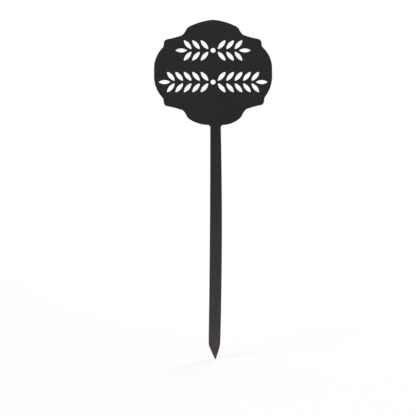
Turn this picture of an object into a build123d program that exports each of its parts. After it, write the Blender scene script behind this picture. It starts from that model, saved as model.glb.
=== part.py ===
from build123d import *
from math import radians, sin
import os

# Plant label stake: a shaped sheet-metal plate with stencil-cut sprigs, welded on a pointed strip.
# Millimetres. +Z runs up the strip, -Y is the front, and +X is to the right seen from the front.
# The origin is the point of the strip, in the middle of the sheet.

# Whole stake
total_height = 254.0
sheet_thickness = 2.0
edge_break = 0.2

# Plate
plate_offset = -1.7
plate_half_width = 44.2
plate_half_height = 39.5
upper_crown_radius = 49.5
upper_peak_radius = 12.0
lower_edge_share = 0.992
joint_flat = 10.5
flank_hollow = 0.38
shelf_hollow = 0.35

# Corners of a quarter of the plate, as shares of its half width and half height, and their radii
crown_corner_shares = (0.444, 0.846)
shelf_start_shares = (0.521, 0.707)
shelf_end_shares = (0.826, 0.620)
side_start_shares = (0.842, 0.483)
side_flat_share = 0.075
crown_corner_radius = 5.5
shelf_start_radius = 4.5
shelf_end_radius = 2.8
side_start_radius = 3.5

# The plate was drawn by hand: how far each quarter's step stands out and up, in the same shares,
# and how far the lower crown's middle lies to the right of the plate's
upper_right_step_shares = (-0.015, 0.007)
upper_left_step_shares = (0.000, 0.000)
lower_right_step_shares = (0.030, -0.013)
lower_left_step_shares = (0.002, 0.008)
lower_crown_offset = 0.45

# Strip, with its ends and bows measured sideways from the point
neck_width = 7.85
neck_offset = 0.1
foot_width = 8.75
foot_offset = -0.7
left_edge_bow = 0.33
right_edge_bow = 1.1
left_shoulder_height = 11.4
right_shoulder_height = 10.9
left_shoulder_radius = 9.0
right_shoulder_radius = 25.0
point_radius = 0.4

# Welds
weld_leg = 1.9
weld_hollow = 0.45
bead_width = 3.4
bead_height = 0.7
bead_pitch = 1.0

# Stencil-cut sprigs: leaf pairs that run outwards from a round berry in the middle of each row
leaf_length = 9.0
leaf_pitch = 6.3
leaf_tip_radius = 0.4
leaf_tilt = 50.0
berry_radius = 1.85
bridge = 1.7
sprig_margin = 3.0
upper_row_height_share = 0.42
upper_row_length_share = 0.7
lower_row_height_share = -0.18
lower_row_length_share = 1.0

# Sizes worked out from those above
half_thickness = sheet_thickness / 2
plate_centre_height = total_height - plate_half_height
lower_edge = -plate_half_height * lower_edge_share
joint_height = plate_centre_height + lower_edge


def sheet(face):
    """A flat face in X and Z given the sheet's thickness, half to the front and half to the back."""
    return extrude(Plane.XZ * face, half_thickness, both=True)


def rounded(face, corners, radius):
    """The face with the corners nearest to the given points rounded."""
    for corner in corners:
        nearest = face.vertices().sort_by_distance(Vector(*corner))[0]
        face = fillet(nearest, radius)
    return face


def broken_edges(blank, weld_zone):
    """The blank with its front and back edges broken, except where it is welded."""
    levels = blank.edges().group_by(Axis.Y)
    return chamfer(levels[0] + levels[-1], edge_break) + (blank & weld_zone)


# Plate outline: four quarters, each half a crown, a flank, a shelf, a step and half a side lobe
upper_peak = (0, plate_half_height)
quarters = [
    (1, 1, upper_right_step_shares),
    (-1, 1, upper_left_step_shares),
    (1, -1, lower_right_step_shares),
    (-1, -1, lower_left_step_shares),
]


def quarter_point(shares, quarter):
    """A corner of the plate in one of its quarters, moved by that quarter's step and its crown."""
    side, level, step = quarter
    across = (shares[0] + step[0]) * plate_half_width
    up = (shares[1] + step[1]) * plate_half_height
    on_lower_crown = level < 0 and shares in (crown_corner_shares, shelf_start_shares)
    return (side * across + (lower_crown_offset if on_lower_crown else 0), level * up)


def half_crown(side, level, crown_end):
    """Half of a crown: round from its peak above, and below a flat for the strip and a round side."""
    if level > 0:
        return [RadiusArc(upper_peak, crown_end, side * upper_crown_radius)]
    joint_middle = neck_offset - plate_offset
    flat_end = (joint_middle + side * joint_flat / 2, lower_edge)
    return [
        Line((joint_middle, lower_edge), flat_end),
        TangentArc(flat_end, crown_end, tangent=(side, 0)),
    ]


def quarter_outline(quarter):
    """The sharp-cornered outline from the middle of a crown to the middle of a side."""
    side, level, _ = quarter
    crown_end = quarter_point(crown_corner_shares, quarter)
    shelf_start = quarter_point(shelf_start_shares, quarter)
    shelf_end = quarter_point(shelf_end_shares, quarter)
    side_start = quarter_point(side_start_shares, quarter)
    flat_end = (side * plate_half_width, level * side_flat_share * plate_half_height)
    return half_crown(side, level, crown_end) + [
        SagittaArc(crown_end, shelf_start, -side * level * flank_hollow),
        SagittaArc(shelf_start, shelf_end, -side * level * shelf_hollow),
        Line(shelf_end, side_start),
        TangentArc(flat_end, side_start, tangent=(0, level)),
        Line(flat_end, (side * plate_half_width, 0)),
    ]


plate_face = make_face([edge for quarter in quarters for edge in quarter_outline(quarter)])
corner_radii = [
    (crown_corner_shares, crown_corner_radius),
    (shelf_start_shares, shelf_start_radius),
    (shelf_end_shares, shelf_end_radius),
    (side_start_shares, side_start_radius),
]
for shares, radius in corner_radii:
    plate_face = rounded(plate_face, [quarter_point(shares, quarter) for quarter in quarters], radius)
plate_face = rounded(plate_face, [upper_peak], upper_peak_radius)

# Sprigs: neighbouring leaves leave one bridge of metal between them
leaf_half_width = (leaf_pitch * sin(radians(leaf_tilt)) - bridge) / 2
leaf = make_face([
    ThreePointArc((0, 0), (leaf_length / 2, leaf_half_width), (leaf_length, 0)),
    ThreePointArc((0, 0), (leaf_length / 2, -leaf_half_width), (leaf_length, 0)),
])
leaf = fillet(leaf.vertices(), leaf_tip_radius)


def sprig_row(row_length_share):
    """A row of cuts: a berry, and on each side leaf pairs and an end leaf that lies along the row."""
    half_length = (plate_half_width - sprig_margin) * row_length_share
    first_leaf = berry_radius + bridge
    pairs = int((half_length - leaf_length - first_leaf) / leaf_pitch + 0.5)
    half_row = [Pos(first_leaf + (pairs - 0.5) * leaf_pitch, 0) * leaf]
    for pair in range(pairs):
        for level in (1, -1):
            stem = Pos(first_leaf + pair * leaf_pitch, level * bridge / 2)
            half_row.append(stem * Rot(0, 0, level * leaf_tilt) * leaf)
    return half_row + [mirror(cut, Plane.YZ) for cut in half_row] + [Circle(berry_radius)]


sprig_rows = [
    (upper_row_height_share, upper_row_length_share),
    (lower_row_height_share, lower_row_length_share),
]
for height_share, length_share in sprig_rows:
    row_height = height_share * plate_half_height
    plate_face -= [Pos(0, row_height) * cut for cut in sprig_row(length_share)]
plate_face = Pos(plate_offset, plate_centre_height) * plate_face

# Strip outline: bowed long edges, a point with two uneven shoulders, and a top cut to the plate
blank_height = joint_height + neck_width / 3
neck_left = neck_offset - neck_width / 2
neck_right = neck_offset + neck_width / 2
foot_left = foot_offset - foot_width / 2
foot_right = foot_offset + foot_width / 2
middle_height = (blank_height + (left_shoulder_height + right_shoulder_height) / 2) / 2
middle_left = (neck_left + foot_left) / 2 + left_edge_bow
middle_right = (neck_right + foot_right) / 2 + right_edge_bow
left_shoulder = (foot_left, left_shoulder_height)
right_shoulder = (foot_right, right_shoulder_height)
strip_face = make_face([
    ThreePointArc(left_shoulder, (middle_left, middle_height), (neck_left, blank_height)),
    Line((neck_left, blank_height), (neck_right, blank_height)),
    ThreePointArc((neck_right, blank_height), (middle_right, middle_height), right_shoulder),
    Polyline(right_shoulder, (0, 0), left_shoulder),
])
strip_face = rounded(strip_face, [left_shoulder], left_shoulder_radius)
strip_face = rounded(strip_face, [right_shoulder], right_shoulder_radius)
strip_face = rounded(strip_face, [(0, 0)], point_radius)
strip_face = Pos(0, -strip_face.bounding_box().min.Y) * strip_face - plate_face

# Joint: the strip's top butts on the flat of the plate's lower edge
top_corners = strip_face.vertices().filter_by_position(Axis.Y, middle_height, total_height)
left_corner, *_, right_corner = top_corners.sort_by(Axis.X)


def corner_weld(corner, side):
    """The weld in one inner corner: two legs and a hollow face, cut back to the metal."""
    root = weld_leg / 3
    reach = weld_leg + root
    inside = (corner.X - side * root, corner.Y + root)
    low_toe = (inside[0], corner.Y - reach)
    high_toe = (corner.X + side * reach, inside[1])
    face = make_face([
        SagittaArc(low_toe, high_toe, side * weld_hollow),
        Polyline(high_toe, inside, low_toe),
    ])
    return face - plate_face - strip_face


def back_bead():
    """The bead across the joint on the back: round caps of weld metal laid one over the next."""
    cap_radius = ((bead_width / 2) ** 2 + bead_height ** 2) / (2 * bead_height)
    cap_depth = half_thickness + bead_height - cap_radius
    span = neck_width - bead_width
    steps = round(span / bead_pitch)
    caps = [
        Pos(neck_offset - span / 2 + step * span / steps, cap_depth, joint_height) * Sphere(cap_radius)
        for step in range(steps + 1)
    ]
    behind = Box(neck_width, bead_height, bead_width, align=(Align.CENTER, Align.MIN, Align.CENTER))
    return (Part() + caps) & Pos(neck_offset, half_thickness, joint_height) * behind


weld_zone = Pos(neck_offset, 0, joint_height) * Box(neck_width + 2 * weld_leg, sheet_thickness, 2 * weld_leg)
nodes = {
    "sign_plate": broken_edges(sheet(plate_face), weld_zone),
    "stake_strip": broken_edges(sheet(strip_face), weld_zone),
    "weld_fillet_left": sheet(corner_weld(left_corner, -1)),
    "weld_fillet_right": sheet(corner_weld(right_corner, 1)),
    "weld_bead_back": back_bead(),
}

os.makedirs("parts", exist_ok=True)
for name, solid in nodes.items():
    export_step(solid, f"parts/{name}.step")
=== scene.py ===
from math import pi

import bmesh
import bpy
from bpy.props import FloatProperty, FloatVectorProperty, PointerProperty
from bpy.types import Operator, Panel, PropertyGroup
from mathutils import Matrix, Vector


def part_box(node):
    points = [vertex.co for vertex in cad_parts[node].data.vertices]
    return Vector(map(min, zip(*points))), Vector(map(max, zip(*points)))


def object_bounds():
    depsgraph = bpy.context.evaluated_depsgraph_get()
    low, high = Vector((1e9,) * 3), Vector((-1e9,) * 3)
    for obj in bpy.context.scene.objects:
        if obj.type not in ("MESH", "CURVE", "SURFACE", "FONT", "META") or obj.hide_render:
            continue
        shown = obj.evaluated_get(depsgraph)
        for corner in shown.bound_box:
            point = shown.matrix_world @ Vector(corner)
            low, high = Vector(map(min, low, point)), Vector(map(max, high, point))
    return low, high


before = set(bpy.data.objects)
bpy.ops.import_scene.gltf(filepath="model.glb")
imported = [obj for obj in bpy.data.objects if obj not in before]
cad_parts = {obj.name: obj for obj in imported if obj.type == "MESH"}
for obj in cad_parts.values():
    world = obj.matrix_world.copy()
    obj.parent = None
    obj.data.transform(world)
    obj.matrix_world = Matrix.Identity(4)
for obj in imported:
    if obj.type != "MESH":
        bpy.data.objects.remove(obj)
cad_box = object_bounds()

# The finish of a plant label stake: matt black powder coat on cut and welded sheet steel.
# Metres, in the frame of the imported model. The front faces -Y, and the point stands on the floor.

bl_info = {
    "name": "Plant Label Stake Finish",
    "version": (1, 0, 0),
    "blender": (4, 5, 0),
    "location": "View3D > Sidebar > Plant Stake",
    "description": "Powder coat, wear and studio for a welded sheet-metal plant label stake",
    "category": "Material",
}

# Where the photograph shows the stake, in pixels of its square picture
picture_width_px = 416
point_across_px = 215.35
point_down_px = 359.3
stake_height_px = 339.6

# How squarely a surface faces front or back: 1 on a sheet's face, 0 on a wall, this on a chamfer
chamfer_facing = 0.5 ** 0.5

# How far off a chamfer's or a wall's facing a surface stops and starts to count as one
chamfer_limits = (0.25, 0.05)
wall_limits = (0.45, 0.25)

# Between which values nearly all of a Noise node's results lie
noise_limits = (0.3, 0.7)

# The middle of a noise that has been stretched to run from 0 to 1
noise_middle = 0.5

# Straight sides of the round floor
floor_sides = 96


def length(name, description, default):
    """A setting in metres."""
    return FloatProperty(
        name=name,
        description=description,
        default=default,
        min=0.0,
        precision=6,
        unit="LENGTH",
    )


def share(name, description, default):
    """A setting from 0 to 1."""
    return FloatProperty(
        name=name,
        description=description,
        default=default,
        min=0.0,
        max=1.0,
        subtype="FACTOR",
    )


def colour(name, description, default):
    """A colour setting."""
    return FloatVectorProperty(
        name=name,
        description=description,
        default=default,
        min=0.0,
        max=1.0,
        size=3,
        subtype="COLOR",
    )


def place(name, description, default):
    """A setting for where something stands, in metres."""
    return FloatVectorProperty(
        name=name,
        description=description,
        default=default,
        size=3,
        subtype="TRANSLATION",
        unit="LENGTH",
    )


class CoatSettings(PropertyGroup):
    """The powder coat that every piece has."""

    cool_black: colour("Cool Black", "Colour of the cooler patches", (0.0036, 0.0038, 0.0066))
    warm_black: colour("Warm Black", "Colour of the warmer patches", (0.0070, 0.0067, 0.0055))
    mottle_size: length("Mottle Size", "Width of the cooler and warmer patches", 0.014)
    roughness: share("Roughness", "Roughness of the flat coat", 0.42)
    mottle_roughness: share("Mottle Roughness", "How much the patches differ in roughness", 0.06)
    grain_roughness: share("Grain Roughness", "How much the grain differs in roughness", 0.12)
    specular: share("Specular", "Strength of the coat's reflection", 0.15)
    peel_size: length("Orange Peel Size", "Width of the coat's soft waves", 0.0018)
    peel_height: length("Orange Peel Height", "Height of the coat's soft waves", 0.000060)
    grain_size: length("Grain Size", "Width of the coat's fine grain", 0.00036)
    grain_height: length("Grain Height", "Height of the coat's fine grain", 0.000055)
    # The grain's peaks are painted paler: a painted highlight on the grain
    peak_highlight_start: share("Grain Peak Highlight Start", "How high on the grain its painted highlights begin", 0.4)
    peak_highlight_colour: colour("Grain Peak Highlight Colour", "Colour of the painted highlight on the grain's peaks", (0.0120, 0.0118, 0.0116))
    # Broken edges are painted paler in stretches: rubbed coat and a painted edge highlight
    worn_and_highlight_colour: colour("Worn And Highlight Colour", "Colour of the rubbed edges, with their painted highlight", (0.045, 0.044, 0.043))
    wear_and_highlight: share("Edge Wear", "How much of the rubbed and highlight colour shows on broken edges", 0.5)
    rub_size: length("Rub Size", "Length of the rubbed stretches of an edge", 0.006)
    rub_start: share("Rub Start", "Level of its noise at which an edge begins to be rubbed", 0.3)
    rub_end: share("Rub End", "Level of its noise at which an edge is fully rubbed", 0.8)
    wall_roughness: share("Wall Roughness", "How much rougher the coat is on the cut walls", 0.2)
    comb_pitch: length("Comb Pitch", "Spacing of the cutter's lines on the cut walls", 0.00045)
    comb_length: length("Comb Length", "Length of the cutter's lines through the sheet", 0.009)
    comb_depth: length("Comb Depth", "Depth of the cutter's lines on the cut walls", 0.000080)


class StripSettings(PropertyGroup):
    """What the strip's coat shows besides: mill streaks, a painted sheen and scratches towards the
    point, and soil there.
    """

    streak_width: length("Streak Width", "Width of the lengthwise mill streaks", 0.0007)
    streak_length: length("Streak Length", "Length of the lengthwise mill streaks", 0.05)
    streak_height: length("Streak Height", "Height of the mill streaks", 0.000012)
    streak_start: length("Streak Start", "How far below the plate the streaks come in", 0.03)
    streak_colour: colour("Streak Colour", "Colour of the paler streaks", (0.021, 0.021, 0.021))
    streaks: share("Streaks", "How much of the streak colour shows", 0.33)
    # The strip is painted paler the nearer it is to the point: a painted sheen
    painted_sheen_colour: colour("Painted Sheen Colour", "Colour of the painted sheen towards the point", (0.0285, 0.0285, 0.0285))
    painted_sheen_reach: length("Painted Sheen Reach", "Height up to which the sheen is painted", 0.195)
    soil_colour: colour("Soil Colour", "Colour of the dried soil", (0.058, 0.046, 0.044))
    soil_reach: length("Soil Reach", "Height up to which soil has dried on", 0.025)
    soil_patch: length("Soil Patch Size", "Width of the patches that the soil lies in", 0.0013)
    soil_raggedness: length("Soil Raggedness", "How far the soil's reach differs by patch", 0.018)
    soil_roughness: share("Soil Roughness", "How much rougher the soil is than the coat", 0.3)
    cloud_height: length("Cloud Height", "How far streaks, painted sheen and soil shift in height", 0.012)
    scratch_width: length("Scratch Width", "Width of the scratches that soil has left", 0.00022)
    scratch_length: length("Scratch Length", "Length of the scratches that soil has left", 0.0157)
    scratch_depth: length("Scratch Depth", "Depth of the scratches that soil has left", 0.000020)
    scratch_start: share("Scratch Start", "Level of its noise at which a scratch begins", 0.8)
    scratch_colour: colour("Scratch Colour", "Colour of the scratched coat", (0.080, 0.078, 0.075))
    scratches: share("Scratches", "How much of the scratch colour shows at the point", 0.5)


class WeldSettings(PropertyGroup):
    """How the coat lies on the weld metal."""

    roughness: share("Pooled Roughness", "Roughness of the thicker coat on the welds", 0.36)
    texture: share("Texture", "How much grain and waves are left", 0.3)
    ripple_pitch: length("Ripple Pitch", "Spacing of the metal's freezing lines", 0.00022)
    ripple_length: length("Ripple Length", "Length of the freezing lines, up the stake", 0.00176)
    ripple_height: length("Ripple Height", "Height of the freezing lines under the coat", 0.000010)


class StageSettings(PropertyGroup):
    """Floor, light and camera."""

    floor_colour: colour("Floor Colour", "Colour of the floor", (0.90, 0.90, 0.89))
    floor_roughness: share("Floor Roughness", "Roughness of the floor", 0.9)
    floor_specular: share("Floor Specular", "Strength of the floor's reflection", 0.2)
    floor_radius: length("Floor Radius", "Radius of the round floor", 1.2)
    fade_start: share("Fade Start", "Share of its radius at which the floor begins to fade", 0.5)
    fade_end: share("Fade End", "Share of its radius at which the floor has faded", 0.98)
    floor_veil: share("Floor Veil", "How much of the white background hides the floor", 0.65)
    ambient_level: share("Ambient Level", "Light from all round, as a share of white", 0.55)
    key_level: share("Key Level", "Light of the lamp in front on the left", 0.45)
    key_place: place("Key Place", "Where the lamp in front on the left stands", (-0.9, -1.2, 1.1))
    fill_level: share("Fill Level", "Light of the lamp in front on the right", 0.20)
    fill_place: place("Fill Place", "Where the lamp in front on the right stands", (1.1, -1.1, 0.5))
    back_level: share("Back Level", "Light of the lamp behind", 0.50)
    back_place: place("Back Place", "Where the lamp behind stands", (0.6, 1.3, 1.0))
    lamp_width: length("Lamp Width", "Width of each square lamp", 0.9)
    lens: FloatProperty(
        name="Lens",
        description="Focal length of the camera",
        default=100.0,
        min=1.0,
        subtype="DISTANCE_CAMERA",
    )


class Value:
    """An output of a node. Arithmetic on it adds Math nodes."""

    def __init__(self, recipe, socket):
        self.recipe = recipe
        self.socket = socket

    def __add__(self, other):
        return self.recipe.maths("ADD", self, other)

    def __sub__(self, other):
        return self.recipe.maths("SUBTRACT", self, other)

    def __rsub__(self, other):
        return self.recipe.maths("SUBTRACT", other, self)

    def __mul__(self, other):
        return self.recipe.maths("MULTIPLY", self, other)

    def __abs__(self):
        return self.recipe.maths("ABSOLUTE", self)

    __radd__ = __add__
    __rmul__ = __mul__


class Recipe:
    """Adds nodes to the tree of a material or a world."""

    def __init__(self, owner):
        owner.use_nodes = True
        self.tree = owner.node_tree
        self.tree.nodes.clear()

    def node(self, kind, settings=None, inputs=None):
        """Adds a node, makes its settings, fills or links its inputs, and gives its outputs."""
        node = self.tree.nodes.new(kind)
        for name, setting in (settings or {}).items():
            setattr(node, name, setting)
        sockets = {socket.identifier: socket for socket in node.inputs}
        for name, given in (inputs or {}).items():
            if isinstance(given, Value):
                self.tree.links.new(given.socket, sockets[name])
            else:
                sockets[name].default_value = given
        return {socket.identifier: Value(self, socket) for socket in node.outputs}

    def maths(self, operation, *values):
        """The result of a Math node."""
        inputs = dict(zip(("Value", "Value_001"), values))
        return self.node("ShaderNodeMath", {"operation": operation}, inputs)["Value"]

    def ramp(self, value, start, end):
        """0 where the value is start, 1 where it is end, and smooth between them."""
        smooth = {"interpolation_type": "SMOOTHSTEP"}
        limits = {"Value": value, "From Min": start, "From Max": end}
        return self.node("ShaderNodeMapRange", smooth, limits)["Result"]

    def mix(self, amount, first, second):
        """The first colour with an amount of the second."""
        inputs = {"Factor_Float": amount, "A_Color": first, "B_Color": second}
        return self.node("ShaderNodeMix", {"data_type": "RGBA"}, inputs)["Result_Color"]

    def parts(self, vector):
        """The X, Y and Z of a vector."""
        return self.node("ShaderNodeSeparateXYZ", inputs={"Vector": vector})

    def seen_behind(self):
        """1 for rays that show the background: those from the camera, a mirror or glass."""
        path = self.node("ShaderNodeLightPath")
        through = self.maths("MAXIMUM", path["Is Glossy Ray"], path["Is Transmission Ray"])
        return self.maths("MAXIMUM", through, path["Is Camera Ray"])


def rgba(rgb):
    """A colour as a colour socket takes it."""
    return (*rgb, 1.0)


class Coat(Recipe):
    """Powder coat. Its colour, roughness and relief may be added to before it is finished."""

    def __init__(self, name, look):
        self.material = bpy.data.materials.new(name)
        super().__init__(self.material)
        self.specular = look.specular
        coordinates = self.node("ShaderNodeTexCoord")
        self.place = coordinates["Object"]
        self.facing = abs(self.parts(coordinates["Normal"])["Y"])
        mottle = self.noise(look.mottle_size)
        peel = self.noise(look.peel_size)
        grain = self.noise(look.grain_size)
        self.colour = self.mix(mottle, rgba(look.cool_black), rgba(look.warm_black))
        # Painted highlight: the grain's peaks are painted a paler colour
        self.cover(self.ramp(grain, look.peak_highlight_start, 1.0), look.peak_highlight_colour)
        mottled = (mottle - noise_middle) * look.mottle_roughness
        grainy = (grain - noise_middle) * look.grain_roughness
        self.roughness = look.roughness + (mottled + grainy)
        self.relief = peel * look.peel_height + grain * look.grain_height

    def noise(self, width, depth=None, height=None):
        """Soft hills from 0 to 1, of one size in X, Y and Z where no other is given."""
        scale = [1 / size for size in (width, depth or width, height or width)]
        inputs = {"Vector": self.place, "Vector_001": scale}
        scaled = self.node("ShaderNodeVectorMath", {"operation": "MULTIPLY"}, inputs)["Vector"]
        noise = self.node("ShaderNodeTexNoise", inputs={"Vector": scaled, "Scale": 1.0})["Fac"]
        return self.ramp(noise, *noise_limits)

    def cover(self, amount, rgb):
        """Lays another colour over the coat."""
        self.colour = self.mix(amount, self.colour, rgba(rgb))

    def finish(self):
        """Joins the coat to its shader. Its relief is in metres, so the bump's distance is 1."""
        bumps = {"Height": self.relief, "Distance": 1.0}
        normal = self.node("ShaderNodeBump", inputs=bumps)["Normal"]
        inputs = {
            "Base Color": self.colour,
            "Roughness": self.roughness,
            "Specular IOR Level": self.specular,
            "Normal": normal,
        }
        surface = self.node("ShaderNodeBsdfPrincipled", inputs=inputs)["BSDF"]
        self.node("ShaderNodeOutputMaterial", inputs={"Surface": surface})
        return self.material


def add_cut_edges(coat, look):
    """Combed walls where the sheet was cut, and on the broken edges rubbed coat that is also a
    painted highlight.
    """
    wall = coat.ramp(coat.facing, *wall_limits)
    comb = coat.noise(look.comb_pitch, depth=look.comb_length)
    coat.relief = coat.relief + wall * comb * look.comb_depth
    coat.roughness = coat.roughness + wall * look.wall_roughness
    # Rubbed coat and a painted edge highlight: a paler colour in stretches along the chamfers
    chamfer = coat.ramp(abs(coat.facing - chamfer_facing), *chamfer_limits)
    wear_and_painted_light = coat.ramp(coat.noise(look.rub_size), look.rub_start, look.rub_end)
    coat.cover(chamfer * wear_and_painted_light * look.wear_and_highlight, look.worn_and_highlight_colour)


def dress(material, *names):
    """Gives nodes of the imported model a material."""
    for name in names:
        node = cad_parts[name]
        node.material_slots[0].material = material


class STAKE_OT_coat_plate(Operator):
    """Coats the sign plate, its cut walls and its broken edges"""

    bl_idname = "stake.coat_plate"
    bl_label = "Coat the Sign Plate"

    def execute(self, context):
        look = context.scene.stake_coat
        coat = Coat("Coat on the sign plate", look)
        add_cut_edges(coat, look)
        dress(coat.finish(), "sign_plate")
        return {"FINISHED"}


class STAKE_OT_coat_strip(Operator):
    """Coats the stake strip, with its mill streaks, a painted sheen and scratches towards its
    point, and the soil there
    """

    bl_idname = "stake.coat_strip"
    bl_label = "Coat the Stake Strip"

    def execute(self, context):
        look = context.scene.stake_coat
        strip = context.scene.stake_strip
        coat = Coat("Coat on the stake strip", look)
        clouds = (coat.noise(look.mottle_size) - noise_middle) * strip.cloud_height
        height = coat.parts(coat.place)["Z"] + clouds
        joint_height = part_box("stake_strip")[1].z
        below_joint = coat.ramp(height, joint_height, joint_height - strip.streak_start)
        streaks = coat.noise(strip.streak_width, height=strip.streak_length) * below_joint
        coat.relief = coat.relief + streaks * strip.streak_height
        # Painted sheen: the coat is painted paler towards the point; the same share also places the
        # scratches
        wear_and_painted_light = coat.ramp(height, strip.painted_sheen_reach, 0.0)
        coat.cover(wear_and_painted_light, strip.painted_sheen_colour)
        patches = (coat.noise(strip.soil_patch) - noise_middle) * strip.soil_raggedness
        soil = coat.ramp(height + patches, strip.soil_reach, 0.0)
        coat.cover(soil, strip.soil_colour)
        coat.roughness = coat.roughness + soil * strip.soil_roughness
        coat.cover(streaks * strip.streaks, strip.streak_colour)
        lines = coat.noise(strip.scratch_width, height=strip.scratch_length)
        scratches = coat.ramp(lines, strip.scratch_start, 1.0) * wear_and_painted_light * wear_and_painted_light
        coat.cover(scratches * strip.scratches, strip.scratch_colour)
        coat.relief = coat.relief - scratches * strip.scratch_depth
        add_cut_edges(coat, look)
        dress(coat.finish(), "stake_strip")
        return {"FINISHED"}


class STAKE_OT_coat_welds(Operator):
    """Coats the welds, where the coat lies thicker over the freezing lines of the metal"""

    bl_idname = "stake.coat_welds"
    bl_label = "Coat the Welds"

    def execute(self, context):
        look = context.scene.stake_coat
        weld = context.scene.stake_welds
        coat = Coat("Coat on the welds", look)
        lines = coat.noise(weld.ripple_pitch, height=weld.ripple_length)
        coat.relief = coat.relief * weld.texture + lines * weld.ripple_height
        coat.roughness = coat.roughness + (weld.roughness - look.roughness)
        dress(coat.finish(), "weld_fillet_left", "weld_fillet_right", "weld_bead_back")
        return {"FINISHED"}


def add_to_scene(name, data):
    """An object of the stage, in the scene."""
    made = bpy.data.objects.new(name, data)
    bpy.context.scene.collection.objects.link(made)
    return made


def add_floor(stage):
    """A round pale floor that fades into the white background towards its rim."""
    mesh = bpy.data.meshes.new("floor")
    disc = bmesh.new()
    bmesh.ops.create_circle(disc, cap_ends=True, radius=stage.floor_radius, segments=floor_sides)
    disc.to_mesh(mesh)
    disc.free()
    material = bpy.data.materials.new("Pale floor")
    mesh.materials.append(material)
    recipe = Recipe(material)
    from_middle = {"Vector": recipe.node("ShaderNodeTexCoord")["Object"]}
    distance = recipe.node("ShaderNodeVectorMath", {"operation": "LENGTH"}, from_middle)["Value"]
    start, end = (stage.floor_radius * out for out in (stage.fade_start, stage.fade_end))
    rim = recipe.ramp(distance, start, end)
    paint = {
        "Base Color": rgba(stage.floor_colour),
        "Roughness": stage.floor_roughness,
        "Specular IOR Level": stage.floor_specular,
    }
    lit = recipe.node("ShaderNodeBsdfPrincipled", inputs=paint)["BSDF"]
    white = recipe.node("ShaderNodeEmission", inputs={"Strength": 1.0})["Emission"]
    clear = recipe.node("ShaderNodeBsdfTransparent")["BSDF"]
    veil = {"Fac": recipe.seen_behind() * stage.floor_veil, "Shader": lit, "Shader_001": white}
    veiled = recipe.node("ShaderNodeMixShader", inputs=veil)["Shader"]
    fade = {"Fac": rim, "Shader": veiled, "Shader_001": clear}
    faded = recipe.node("ShaderNodeMixShader", inputs=fade)["Shader"]
    recipe.node("ShaderNodeOutputMaterial", inputs={"Surface": faded})
    add_to_scene("floor", mesh)


def add_world(stage):
    """Even light from all round, and a white background."""
    world = bpy.data.worlds.new("White studio")
    bpy.context.scene.world = world
    recipe = Recipe(world)
    level = stage.ambient_level + recipe.seen_behind() * (1 - stage.ambient_level)
    white = {"Color": rgba((1.0, 1.0, 1.0)), "Strength": level}
    light = recipe.node("ShaderNodeBackground", inputs=white)["Background"]
    recipe.node("ShaderNodeOutputWorld", inputs={"Surface": light})


def add_lamp(name, spot, level, width):
    """A square lamp that lights what faces it, in the middle of the stake, to its level."""
    lowest, highest = cad_box
    to_stake = (lowest + highest) / 2 - Vector(spot)
    light = bpy.data.lights.new(name, "AREA")
    light.size = width
    # White that faces a lamp looks as bright as its power over pi squared and distance squared
    light.energy = level * pi ** 2 * to_stake.length_squared
    lamp = add_to_scene(name, light)
    lamp.location = spot
    lamp.rotation_euler = to_stake.to_track_quat("-Z", "Y").to_euler()


def add_camera(stage):
    """A camera straight in front, that frames the stake as the photograph does."""
    lowest, highest = cad_box
    metres_per_px = (highest.z - lowest.z) / stake_height_px
    across = (picture_width_px / 2 - point_across_px) * metres_per_px
    up = (point_down_px - picture_width_px / 2) * metres_per_px
    camera = bpy.data.cameras.new("camera")
    camera.lens = stage.lens
    distance = picture_width_px * metres_per_px * camera.lens / camera.sensor_width
    seen = add_to_scene("camera", camera)
    seen.location = (across, lowest.y - distance, up)
    seen.rotation_euler = (pi / 2, 0.0, 0.0)
    bpy.context.scene.camera = seen


class STAKE_OT_set_stage(Operator):
    """Sets the floor, the light and the camera"""

    bl_idname = "stake.set_stage"
    bl_label = "Set the Stage"

    def execute(self, context):
        stage = context.scene.stake_stage
        add_floor(stage)
        add_world(stage)
        add_lamp("key lamp", stage.key_place, stage.key_level, stage.lamp_width)
        add_lamp("fill lamp", stage.fill_place, stage.fill_level, stage.lamp_width)
        add_lamp("back lamp", stage.back_place, stage.back_level, stage.lamp_width)
        add_camera(stage)
        context.scene.view_settings.view_transform = "Standard"
        return {"FINISHED"}


class STAKE_PT_finish(Panel):
    """Lists the settings and the steps of the finish"""

    bl_idname = "STAKE_PT_finish"
    bl_label = "Plant Label Stake"
    bl_space_type = "VIEW_3D"
    bl_region_type = "UI"
    bl_category = "Plant Stake"

    def draw(self, context):
        for name in setting_groups:
            box = self.layout.box()
            settings = getattr(context.scene, name)
            for setting in settings.__annotations__:
                box.prop(settings, setting)
        for operator in operators:
            self.layout.operator(operator.bl_idname)


setting_groups = {
    "stake_coat": CoatSettings,
    "stake_strip": StripSettings,
    "stake_welds": WeldSettings,
    "stake_stage": StageSettings,
}
operators = (STAKE_OT_coat_plate, STAKE_OT_coat_strip, STAKE_OT_coat_welds, STAKE_OT_set_stage)
classes = (*setting_groups.values(), *operators, STAKE_PT_finish)


def register():
    """Adds the settings, the steps and the panel."""
    for kind in classes:
        bpy.utils.register_class(kind)
    for name, group in setting_groups.items():
        setattr(bpy.types.Scene, name, PointerProperty(type=group))


def unregister():
    """Takes away what register adds."""
    for name in setting_groups:
        delattr(bpy.types.Scene, name)
    for kind in reversed(classes):
        bpy.utils.unregister_class(kind)


def main():
    """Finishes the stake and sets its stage."""
    register()
    bpy.ops.stake.coat_plate()
    bpy.ops.stake.coat_strip()
    bpy.ops.stake.coat_welds()
    bpy.ops.stake.set_stage()


if __name__ == "__main__":
    main()
